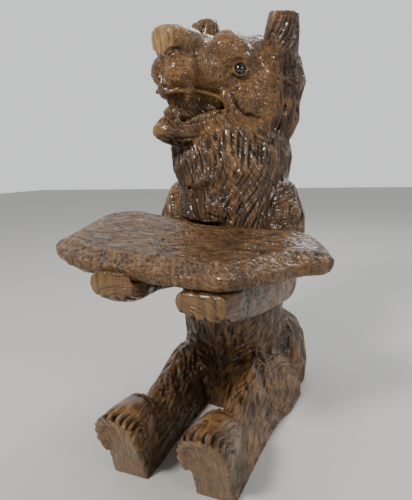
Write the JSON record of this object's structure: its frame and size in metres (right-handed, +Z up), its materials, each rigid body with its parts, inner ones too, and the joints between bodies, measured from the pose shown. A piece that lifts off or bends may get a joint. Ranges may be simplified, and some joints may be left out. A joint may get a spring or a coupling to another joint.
{
  "type": "chainsaw carved bear",
  "caption": "Sitting bear carved from a block of softwood, holding a live-edged serving board on its forearms, with glass eyes.",
  "frame": {"origin": "on the ground under the body, in the middle of the flat underside of the rump", "axes": "+Z up, the legs and the board reach towards -Y, the bear's own left side is +X"},
  "size_m": [0.3531, 0.4031, 0.5813],
  "materials": {
    "stained_wood": "dark walnut stain over gouged softwood, golden on the high spots, under glossy varnish",
    "board_wood": "dark walnut stain on a gouged live-edged board, under glossy varnish",
    "black_glass": "opaque black glass eye, polished"
  },
  "bodies": {
    "root": {"bear": "stained_wood", "serving_board": "board_wood", "left_eye": "black_glass", "right_eye": "black_glass"}
  },
  "joints": []
}
